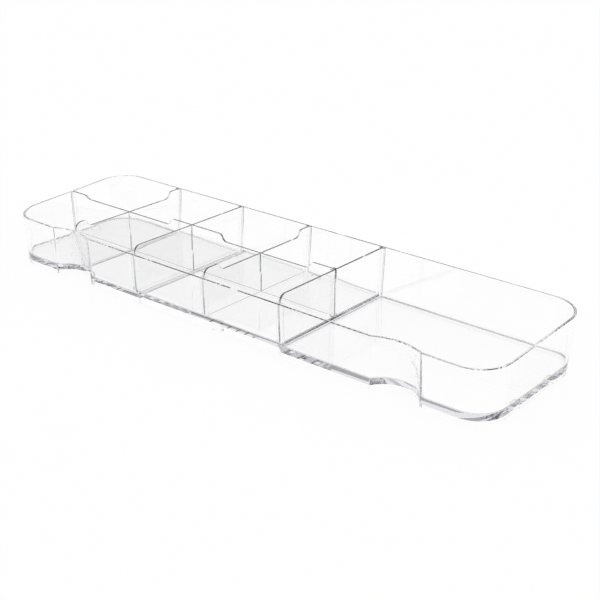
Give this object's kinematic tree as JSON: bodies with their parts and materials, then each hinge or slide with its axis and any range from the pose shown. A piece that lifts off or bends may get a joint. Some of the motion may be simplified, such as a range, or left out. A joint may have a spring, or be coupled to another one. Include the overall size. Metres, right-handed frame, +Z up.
{
  "type": "caddy organizer",
  "caption": "Long low clear plastic caddy tray with rounded corners, thumb scoops in its lower front wall and lift-out dividers that part it into small cells and a large compartment.",
  "frame": {"origin": "under the middle of the tray, on the surface that its foot skirt stands on", "axes": "+X along the length towards the large compartment, +Y towards the high back wall, +Z up"},
  "size_m": [0.3998, 0.111, 0.0406],
  "materials": {
    "clear_tray": "water-clear polished polystyrene moulding",
    "clear_panel": "water-clear polished polystyrene panel"
  },
  "bodies": {
    "tray": {"tray": "clear_tray"},
    "lengthwise": {"lengthwise_divider": "clear_panel"},
    "cross_1": {"cross_divider_1": "clear_panel"},
    "cross_2": {"cross_divider_2": "clear_panel"},
    "cross_3": {"cross_divider_3": "clear_panel"},
    "cross_4": {"cross_divider_4": "clear_panel"}
  },
  "joints": [
    {"name": "lengthwise_lift", "type": "slide", "parent": "tray", "child": "lengthwise", "axis": [0, 0, 1], "range_m": [0, 0.045]},
    {"name": "cross_1_lift", "type": "slide", "parent": "lengthwise", "child": "cross_1", "axis": [0, 0, 1], "range_m": [0, 0.045]},
    {"name": "cross_2_lift", "type": "slide", "parent": "lengthwise", "child": "cross_2", "axis": [0, 0, 1], "range_m": [0, 0.045]},
    {"name": "cross_3_lift", "type": "slide", "parent": "lengthwise", "child": "cross_3", "axis": [0, 0, 1], "range_m": [0, 0.045]},
    {"name": "cross_4_lift", "type": "slide", "parent": "tray", "child": "cross_4", "axis": [0, 0, 1], "range_m": [0, 0.045]}
  ]
}
